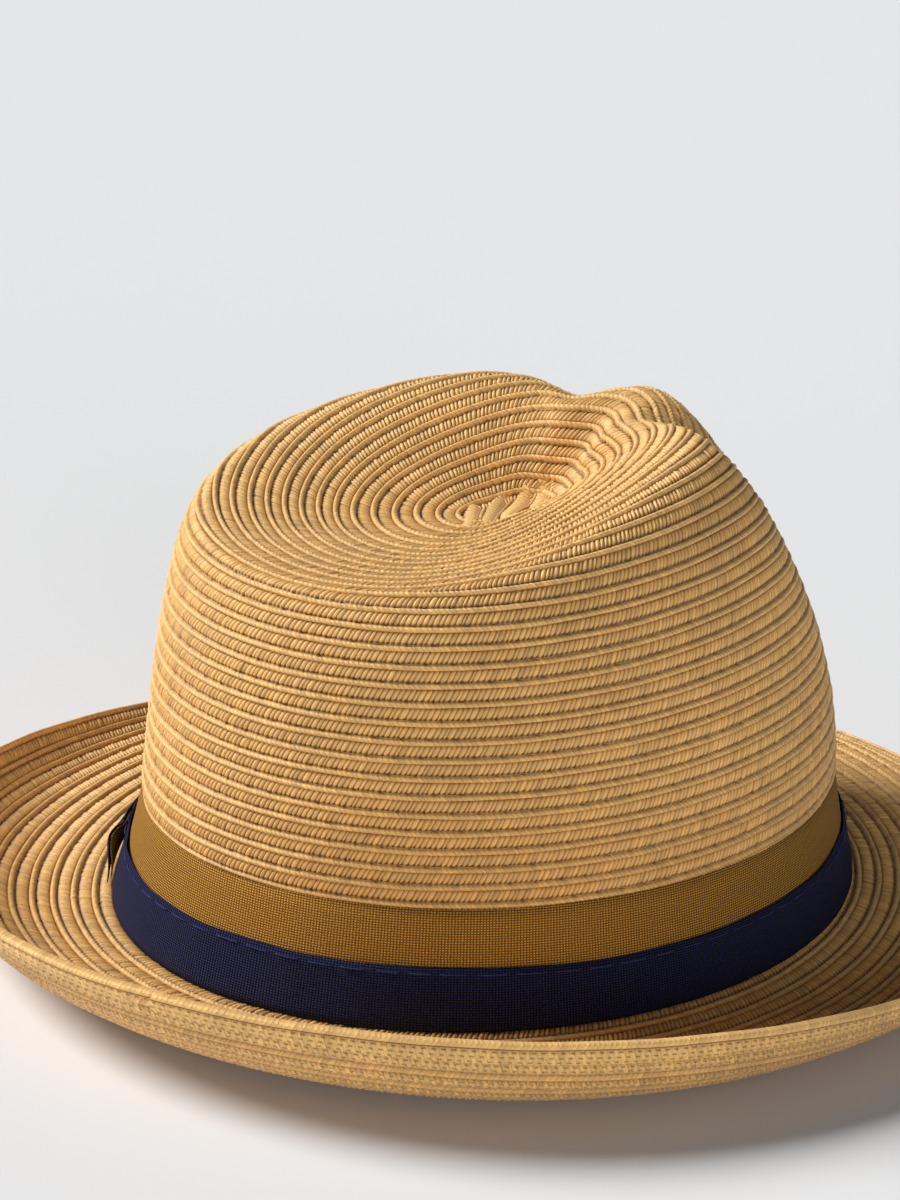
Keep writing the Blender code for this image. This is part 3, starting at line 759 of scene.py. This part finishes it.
def lay_braid(name, course, section, finish, node, low_clamp=None, flat_below=None, lift=None):
    """The braid as a few long closed bodies. Each strand has SAMPLES sections, the first in a valley."""
    share, height, relief, openness, split = section.T
    strands = int(course.length[-1] / STRAND)
    phase = np.arange(SAMPLES) / SAMPLES
    wave = np.array(STRAND_WAVE)
    rng = np.random.default_rng(17)
    plump = 1.0 + PLUMP_SPREAD * rng.standard_normal(strands + 1)
    tone = np.clip(0.5 + TONE_SPREAD * rng.standard_normal(strands + 1), 0.0, 1.0)
    raised = RAISE_SPREAD_MM * rng.standard_normal(strands + 1)
    shift = SHIFT_SPREAD * rng.standard_normal(strands + 1)
    steps = np.hypot(np.diff(share) * ROW_PITCH / MM, np.diff(height))
    arc = np.concatenate([[0.0], np.cumsum(steps)])
    top = height > -0.5
    below = 1.0 * (~top & (share > 0.26))
    groove = (np.abs(share - GROOVE_AT) < 0.01) & top
    beside = (np.abs(share - GROOVE_AT) < 0.07) & (height > 0.0)
    pits = 1.0 * ((np.abs(share - PITS_AT) < 0.06) & top) * (SAMPLES == 4)
    count = max(1, math.ceil(strands / (MOST_VERTICES // (len(section) * SAMPLES))))
    for piece in range(count):
        first = piece * strands // count
        last = (piece + 1) * strands // count
        index = np.arange(first * SAMPLES, last * SAMPLES + (1 if piece < count - 1 else 0))
        which = index // SAMPLES
        part = index % SAMPLES
        valley = part == 0
        along = which + phase[part] + shift[which] * (1 - phase[part]) + shift[which + 1] * phase[part]
        along = along * STRAND
        crest = wave[part] * np.where(valley, 1.0, plump[which])
        up = height + relief * crest[:, None] + raised[which, None] * ~valley[:, None] * (relief > 0.15)
        unevenness = wander(along, WAVE_UP_MM, (0.0061, 0.0133, 0.031), np.random.default_rng(3))
        up = up + unevenness[:, None] * (height > 0)
        hole = ((np.mod(along, STITCH) < HOLE_STRANDS * STRAND) & (which > 3))[:, None]
        up = up - HOLE_DEPTH_MM * hole * groove - HOLE_RIM_DEPTH_MM * hole * beside
        # painted shade: strand valleys, pits by the groove, and stitch holes with their rims darken the
        # straw's colour
        shade = valley[:, None] + PIT_SHADE * (part % 2)[:, None] * pits
        open_here = openness * (1.0 - split * shade)
        open_here = open_here * (1.0 - hole * (1.0 * groove + 0.6 * (beside & ~groove)))
        sheared = along[:, None] + lean(share)
        wobble = wander(along, WAVE_ACROSS, (0.0047, 0.0113, 0.037), np.random.default_rng(8))
        shares = share + wobble[:, None] * (np.abs(share - RIDGE_AT) < 0.21)
        if flat_below is not None:
            row = course.row_at(np.interp(sheared, course.length, course.turns)) + share
            open_up = smooth(flat_below - 0.25, flat_below + 0.12, row)
            up = np.where(up > 0.0, up * open_up, up) - FLAT_UNDER_BAND_MM * (1.0 - open_up)
        if lift is not None:
            up = up + lift(along)[:, None]
        points, _ = course.place(sheared, shares, up * MM)
        if low_clamp is not None:
            points[..., 2] = np.maximum(points[..., 2], low_clamp)
        lay = np.broadcast_arrays((along / MM)[:, None], arc, tone[which][:, None])
        skin(f"{name}_{piece + 1}", points, finish, nodes=(node,), lay=np.stack(lay, axis=-1),
             cavity=open_here, under=np.broadcast_to(below, open_here.shape))


def lay_stitches(name, course, finish, node, height, flat_below=None, low_clamp=None):
    """The running stitch that joins the rows: it lies in the groove and dips into each hole."""
    stitches = int(course.length[-1] / STITCH) - 1
    step = np.array([0.0, 0.14, 0.5, 0.86])
    dip = np.array([-0.45, 0.10, 0.16, 0.10])
    along = ((np.arange(stitches)[:, None] + 1.0 + step) * STITCH + STRAND * 0.3).ravel()
    up = np.tile(dip, stitches) + height
    points, row = course.place(along, np.full(along.shape, STITCH_AT), up * MM)
    if flat_below is not None:
        points = points[row > flat_below]
    sections = tube_points(points, STITCH_RADIUS, 4)
    if low_clamp is not None:
        sections[..., 2] = np.maximum(sections[..., 2], low_clamp)
    return skin(name, sections, finish, nodes=(node,), slot="pale_thread")


# Across a fold of the braid: share of its width, height and strand relief as shares, how open, which sets
# its painted shade
FOLD_SECTION = np.array([
    (-0.50, -0.40, 0.0, 0.10),
    (-0.49, 0.50, 0.3, 0.60),
    (-0.42, 1.15, 0.5, 1.00),
    (-0.33, 0.85, 0.4, 0.80),
    (-0.28, 0.45, 0.3, 0.20),
    (-0.12, 0.95, 1.0, 0.85),
    (0.05, 1.15, 1.3, 1.00),
    (0.22, 1.15, 1.3, 1.00),
    (0.38, 0.95, 1.1, 0.85),
    (0.48, 0.45, 0.6, 0.45),
    (0.50, -0.40, 0.0, 0.10),
    (0.40, -0.90, 0.0, 0.40),
    (0.00, -0.90, 0.0, 0.40),
    (-0.40, -0.90, 0.0, 0.40),
])


def lay_tip(crown, finish):
    """The braid's start: short folds side by side that close the middle of the tip, on a backing."""
    near = crown.points[-50:, ::6].reshape(-1, 3)

    def base(place):
        far = np.linalg.norm(place[..., None, :] - near[:, :2], axis=-1)
        weight = 1.0 / (far + 0.0005) ** 4
        return (weight * near[:, 2]).sum(-1) / weight.sum(-1)

    angle = np.linspace(0.0, 2.0 * math.pi, 48, endpoint=False)[:, None]
    size = np.concatenate([np.linspace(0.05, 1.0, 8), np.linspace(1.0, 0.05, 8)])[None]
    patch = np.stack([TIP_PATCH[0] * size * np.cos(angle), TIP_PATCH[1] * size * np.sin(angle)], axis=-1)
    under = np.where(np.arange(16) < 8, -0.0002, -0.0015)
    points = np.concatenate([patch, (base(patch) + under)[..., None]], axis=-1)
    # the backing is painted into shade, as it lies under the folds
    skin("crown_tip_backing", points, finish, closed=True, nodes=("crown",),
         lay=np.full(points.shape, 0.5), cavity=np.full(points.shape[:2], 0.3))

    ahead = np.array([math.cos(TIP_FOLD_TURN), math.sin(TIP_FOLD_TURN)])
    side = np.array([-ahead[1], ahead[0]])
    rng = np.random.default_rng(23)
    share, tall, relief, openness = FOLD_SECTION.T
    for fold, (middle, half) in enumerate(TIP_FOLDS):
        columns = int(2 * half / STRAND) * SAMPLES
        along = np.linspace(-1.0, 1.0, columns)[:, None]
        centre = np.array([middle, 0.0]) + along * half * ahead
        centre = centre + 0.0007 * np.sin(along * 2.5 + 1.7 * fold) * side
        sheared = centre[:, None] + (lean(0.5 + share) * 0.6)[:, None] * ahead
        place = sheared + (share * TIP_FOLD_WIDTH)[:, None] * side
        crest = np.where(np.arange(columns) % SAMPLES == 0, -1.0, 0.7)[:, None]
        up = TIP_FOLD_HEIGHT * tall + 0.16 * relief * crest + 0.20 * rng.uniform(-1.0, 1.0)
        up = up + 0.2 * np.sin(3.0 * along + fold) - TIP_FOLD_SINK_MM * smooth(0.5, 1.0, np.abs(along))
        points = np.concatenate([place, (base(place) + up * MM)[..., None]], axis=-1)
        lay = np.empty(points.shape)
        lay[..., 0] = (np.arange(columns) / SAMPLES * STRAND / MM)[:, None]
        lay[..., 1] = share * ROW_PITCH / MM
        lay[..., 2] = rng.uniform(0.3, 0.8)
        # painted shade in the valleys between strands
        open_here = openness * (1.0 - 0.45 * (crest < 0.0) * (relief > 0.2))
        skin(f"crown_tip_fold_{fold + 1}", points, finish, nodes=("crown",), lay=lay, cavity=open_here)


def build_base(finish):
    """The smooth foot of the crown's wall under the ribbons."""
    theta = np.arange(240) * 2.0 * math.pi / 240
    levels = np.linspace(BASE_TOP, BRIM_LEVEL + BASE_BACK, 10)
    outer = [ring(theta, wall_offset(u) - BASE_BACK, u) for u in levels]
    inner = [ring(theta, wall_offset(u) - BASE_BACK - BASE_THICK, u) for u in levels[::-1]]
    points = np.stack(outer + inner, axis=1)
    lay = np.zeros(points.shape)
    lay[..., 0] = (theta * BASE_RADIUS_MM)[:, None]
    lay[..., 2] = 0.5
    # the foot's straw is painted a little into shade, as it lies under the ribbons
    skin("crown_base", points, finish, closed=True, nodes=("crown",), lay=lay,
         cavity=np.full(points.shape[:2], 0.6))


def build_straw():
    straw = straw_material("straw_braid")
    stitch = thread_material("straw_stitch", STITCH_COLOUR)
    crown = crown_surface()
    brim = brim_surface()
    under = FLOOR_LEVEL + STRAW_ABOVE_FLOOR

    def row_at(turn):
        return turn - SPIRAL_PHASE

    crown_course = Course(crown, SPIRAL_PHASE - CROWN_TURNS_UNDER_BAND, SPIRAL_PHASE + CROWN_TURNS, row_at)
    lay_braid("crown_braid", crown_course, BRAID_SECTION, straw, "crown", flat_below=0.0)
    lay_stitches("crown_stitches", crown_course, stitch, "crown", -0.05, flat_below=0.3)

    brim_course = Course(brim, SPIRAL_PHASE - BRIM_LAST_ROW, SPIRAL_PHASE - BRIM_TURNS_SHORT, row_at)
    lay_braid("brim_braid", brim_course, BRAID_SECTION, straw, "brim", low_clamp=under,
              lift=lambda along: -BRIM_END_LOW_MM * (1.0 - smooth(*BRIM_END_EASE, along)))
    lay_stitches("brim_stitches", brim_course, stitch, "brim", -0.05, low_clamp=under)

    edge_course = Course(brim, EDGE_OPENING - EDGE_OVERLAP, EDGE_OPENING + 1.0 + EDGE_OVERLAP,
                         lambda turn: -BRIM_ROWS + 0.0 * turn)
    rise, level = edge_course.length[-1] - np.array(EDGE_STEP_EASE)
    lay_braid("edge_braid", edge_course, EDGE_SECTION, straw, "brim_edge_braid", low_clamp=under,
              lift=lambda along: EDGE_STEP_MM * smooth(rise, level, along))
    lay_stitches("edge_stitches", edge_course, stitch, "brim_edge_braid", 0.36, low_clamp=under)

    lay_tip(crown, straw)
    build_base(straw)


# Ribbons

def ribbon(name, theta, low, high, back, thick, finish, closed, nodes, edge_wave, levels, seed):
    """A woven strip and its length. low, high and back, its distance off the wall, go with theta."""
    share = np.linspace(1.0, 0.0, levels)
    up = low[:, None] + (high - low)[:, None] * share
    round_edge = np.array([0.3] + [1.0] * (levels - 2) + [0.3])
    picot = np.where(np.arange(len(theta)) % 4 < 2, edge_wave, 0.0)
    up[:, 0] += picot
    up[:, -1] -= picot
    if np.ndim(back) == 1:
        back = back[:, None]
    if np.ndim(theta) == 1:
        theta = theta[:, None]
    back = np.broadcast_to(back, up.shape)
    middle = back + 0.5 * thick
    outer = ring(theta, wall_offset(up) + middle + 0.5 * thick * round_edge, up)
    inner = ring(theta, wall_offset(up) + middle - 0.5 * thick * round_edge, up)[:, ::-1]
    points = np.concatenate([outer, inner], axis=1)
    steps = np.linalg.norm(np.diff(outer[:, levels // 2], axis=0), axis=1)
    along = np.concatenate([[0.0], np.cumsum(steps)])
    lay = np.empty(points.shape)
    lay[..., 0] = (along / MM)[:, None]
    lay[..., 1] = np.concatenate([up, up[:, ::-1]], axis=1) / MM
    lay[..., 2] = seed
    made = skin(name, points, finish, closed=closed, nodes=nodes, lay=lay)
    length = along[-1] + (np.linalg.norm(outer[0, 0] - outer[-1, 0]) if closed else 0.0)
    return made, length


def waves(theta, sizes, seed):
    """Small closed waves round the hat, as pairs of count and size."""
    rng = np.random.default_rng(seed)
    return sum(size * np.sin(n * theta + rng.uniform(0.0, 6.28)) for n, size in sizes)


def dashes(name, path_of, length, dash_and_gap, radius, finish, nodes):
    """Running stitches: short threads along a path, their ends going down into the cloth."""
    dash, gap = dash_and_gap
    rng = np.random.default_rng(5)
    made = []
    at = 0.0
    while at < length - dash:
        here = dash * rng.uniform(0.85, 1.15)
        s = at + np.linspace(0.0, 1.0, 9) * here
        sink = np.array([-1.0, -0.1, 0.0, 0.05, 0.1, 0.05, 0.0, -0.1, -1.0]) * 0.35 * MM
        thick = radius * np.array([0.6, 1.0, 1.0, 1.0, 1.0, 1.0, 1.0, 1.0, 0.6])
        made.append(tube_points(path_of(s / length, sink), thick, 5))
        at += here + gap * rng.uniform(0.8, 1.2)
    return threads(name, made, finish, nodes)


def threads(name, bodies, finish, nodes):
    """Many short closed tubes, all with as many points, as one object."""
    n, m = bodies[0].shape[:2]
    points = np.stack(bodies)
    i = np.arange(n - 1)[:, None]
    j = np.arange(m)[None]
    k = (j + 1) % m
    after = i + 1
    quads = np.stack([i * m + j, i * m + k, after * m + k, after * m + j], axis=-1).reshape(-1, 4)
    caps = [tuple(range(m))[::-1], tuple((n - 1) * m + c for c in range(m))]
    faces = []
    for b in range(len(bodies)):
        faces += (quads + b * n * m).tolist()
        faces += [tuple(v + b * n * m for v in cap) for cap in caps]
    mesh = bpy.data.meshes.new(name)
    mesh.from_pydata(to_world(points).reshape(-1, 3).tolist(), [], faces)
    mesh.shade_smooth()
    mesh.materials.append(finish)
    made = bpy.data.objects.new(name, mesh)
    SCENE.collection.objects.link(made)
    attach(made, "hat")
    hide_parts(*nodes)
    return made


def build_ribbons():
    mustard = ribbon_material("mustard_grosgrain", MUSTARD_GROUND, MUSTARD_DOT, 0.97)
    navy = ribbon_material("navy_grosgrain", NAVY_GROUND, NAVY_DOT, 0.92)
    blue = thread_material("navy_thread", NAVY_THREAD, 0.8, 0.15)
    columns = 2040
    theta = np.arange(columns) * 2.0 * math.pi / columns
    one = np.ones(columns)
    high = MUSTARD_TOP + waves(theta, MUSTARD_TOP_WAVES, 3)
    wide, length = ribbon("band_mustard_ribbon", theta, MUSTARD_BOTTOM * one, high, GAP * one,
                          MUSTARD_THICK, mustard, True, ("band_mustard",), MUSTARD_PICOT, 9, 0.0)
    top = NAVY_TOP + waves(theta, NAVY_TOP_WAVES, 4)
    share = np.linspace(1.0, 0.0, 9)[None]
    wavy = waves(theta, NAVY_FACE_WAVES, 6)[:, None] * (0.35 + share)
    back = 2.0 * GAP + MUSTARD_THICK + NAVY_LOOSE + wavy
    narrow, length = ribbon("band_navy_ribbon", theta, NAVY_BOTTOM * one, top, back, NAVY_THICK,
                            navy, True, ("band_navy",), NAVY_PICOT, 9, 3.0)

    def seam(share, sink):
        angle = 2.0 * math.pi * share
        up = np.interp(angle, theta, top, period=2.0 * math.pi) - THREAD_BELOW_EDGE
        off = 3.0 * GAP + MUSTARD_THICK + NAVY_THICK + THREAD_OFF
        return ring(angle, wall_offset(up) + off + sink, up)

    dashes("band_seam_stitches", seam, length, THREAD_DASH, THREAD_RADIUS, blue, ("band_seam_thread",))
    build_bow(mustard, navy)


def wing(name, lift, trim, finish, nodes, seed):
    """Both wings of the bow in one strip, narrow at the knot, their ends slanted and bulging open."""
    along = np.linspace(-1.0, 1.0, 300)[:, None]
    far = along[:, 0] ** 2
    low = BOW_BOTTOM[0] + (BOW_BOTTOM[1] - BOW_BOTTOM[0]) * far + trim
    high = BOW_TOP[0] + (BOW_TOP[1] - BOW_TOP[0]) * far - trim
    levels = 15
    share = np.linspace(1.0, 0.0, levels)[None]
    theta = BOW_CENTRE + along * (BOW_SPREAD * (1.0 - BOW_SLANT * share) - trim / OVAL_HALF_WIDTH)
    bulge = np.maximum(np.sin(math.pi * share ** BOW_BULGE_HIGH), 0.0) ** BOW_BULGE_POWER
    end_back = BOW_END_BACK + BOW_BULGE * bulge
    back = BOW_BACK + (end_back - BOW_BACK) * np.abs(along) ** BOW_END_POWER + lift
    made, length = ribbon(name, theta, low, high, back, BOW_THICK, finish, False, nodes, BOW_PICOT,
                          levels, seed)


def build_bow(mustard, navy):
    wing("bow_wing_ribbon", BOW_THICK + GAP, 0.0, navy, ("bow_wings",), 5.0)
    wing("bow_lining_ribbon", 0.0, LINING_TRIM, mustard, ("bow_lining",), 7.0)
    # The knot's profile, as distance off the wall and height: two round corners, full in front
    profile = np.array([
        (KNOT_BACK, KNOT_TOP),
        (KNOT_FRONT - KNOT_CORNER, KNOT_TOP),
        (KNOT_FRONT - 0.3 * KNOT_CORNER, KNOT_TOP - 0.3 * KNOT_CORNER),
        (KNOT_FRONT, KNOT_TOP - KNOT_CORNER),
        (KNOT_FRONT + KNOT_FULL[0], 0.7 * KNOT_TOP + 0.3 * KNOT_BOTTOM),
        (KNOT_FRONT + KNOT_FULL[1], 0.5 * (KNOT_TOP + KNOT_BOTTOM)),
        (KNOT_FRONT + KNOT_FULL[0], 0.3 * KNOT_TOP + 0.7 * KNOT_BOTTOM),
        (KNOT_FRONT, KNOT_BOTTOM + KNOT_CORNER),
        (KNOT_FRONT - 0.3 * KNOT_CORNER, KNOT_BOTTOM + 0.3 * KNOT_CORNER),
        (KNOT_FRONT - KNOT_CORNER, KNOT_BOTTOM),
        (KNOT_BACK, KNOT_BOTTOM),
    ])
    turn = unit(np.gradient(profile, axis=0))
    outward = np.stack([-turn[:, 1], turn[:, 0]], axis=1)
    theta = BOW_CENTRE + np.linspace(-KNOT_SPREAD, KNOT_SPREAD, 48)
    pleat = KNOT_PLEAT * np.cos(np.linspace(-9.0, 9.0, 48))[:, None, None]
    outer = profile + outward * KNOT_THICK + outward * pleat
    inner = np.broadcast_to(profile, outer.shape)[:, ::-1]
    section = np.concatenate([outer, inner], axis=1)
    points = ring(theta[:, None], wall_offset(section[..., 1]) + section[..., 0], section[..., 1])
    steps = np.linalg.norm(np.diff(profile, axis=0), axis=1)
    length = np.concatenate([[0.0], np.cumsum(steps)])
    lay = np.empty(points.shape)
    lay[..., 0] = np.concatenate([length, length[::-1]]) / MM
    lay[..., 1] = (theta * KNOT_WEAVE_RADIUS_MM)[:, None]
    lay[..., 2] = 9.0
    made = skin("bow_knot_ribbon", points, navy, nodes=("bow_knot",), lay=lay)


# Inside

def build_inside():
    cotton = cloth_material("cotton_sweatband", COTTON, 0.8, 0.00015)
    pale = thread_material("pale_thread", PALE_THREAD)
    columns = 600
    theta = np.arange(columns) * 2.0 * math.pi / columns
    offset = -BRAID_THICK - 2.0 * GAP - SWEAT_THICK
    one = np.ones(columns)
    band, length = ribbon("sweatband_strip", theta, SWEAT_BOTTOM * one, SWEAT_TOP * one,
                          np.full(columns, offset), SWEAT_THICK, cotton, True, ("sweatband",), 0.0, 9, 2.0)

    def seam(share, sink):
        angle = 2.0 * math.pi * share
        inside = wall_offset(SWEAT_STITCH_UP) + offset - THREAD_OFF
        return ring(angle, inside - sink, SWEAT_STITCH_UP + 0.0 * angle)

    dashes("sweatband_stitches", seam, length, SWEAT_STITCH_DASH, SWEAT_STITCH_RADIUS, pale,
           ("sweatband_stitching",))

    half = 0.5 * TAPE_WIDTH / OVAL_HALF_WIDTH
    theta = math.pi + np.linspace(-half, half, 60)
    one = np.ones(60)
    back = offset - 3.0 * GAP - TAPE_THICK
    low = SWEAT_STITCH_UP + TAPE_INSET
    high = SWEAT_TOP - TAPE_INSET
    tape, length = ribbon("back_seam_tape", theta, low * one, high * one, back * one, TAPE_THICK,
                          cotton, False, ("sweatband_back_seam",), 0.0, 7, 4.0)


def build_label():
    """The care label hangs from its sewn top edge with a slight bend, on its own label body."""
    cloth = cloth_material("label_cloth", LABEL_CLOTH, 0.4, 0.00008)
    top = ring(LABEL_AT, -LABEL_INSET, LABEL_TOP)
    across = unit(ring(LABEL_AT + 0.01, -LABEL_INSET, LABEL_TOP) - top)
    outward = np.cross(across, (0.0, 0.0, 1.0))
    x = np.linspace(-0.5, 0.5, 24)[:, None, None] * LABEL_WIDTH * across
    drop = np.linspace(0.0, 1.0, 20)
    down = drop[None, :, None] * np.array([0.0, 0.0, -LABEL_DROP])
    bend = (LABEL_BEND * np.sin(drop * 2.6))[None, :, None] * outward
    sheet = top + x + down + bend
    points = np.concatenate([sheet + outward * LABEL_THICK, sheet[:, ::-1]], axis=1)
    lay = np.zeros(points.shape)
    lay[..., 0] = np.linspace(0.0, LABEL_WIDTH / MM, 24)[:, None]
    lay[..., 1] = np.concatenate([drop, drop[::-1]]) * LABEL_DROP / MM
    label = skin("care_label_cloth", points, cloth, body="label", nodes=("care_label",), lay=lay)


add_camera()
add_studio()
build_straw()
build_ribbons()
build_inside()
build_label()
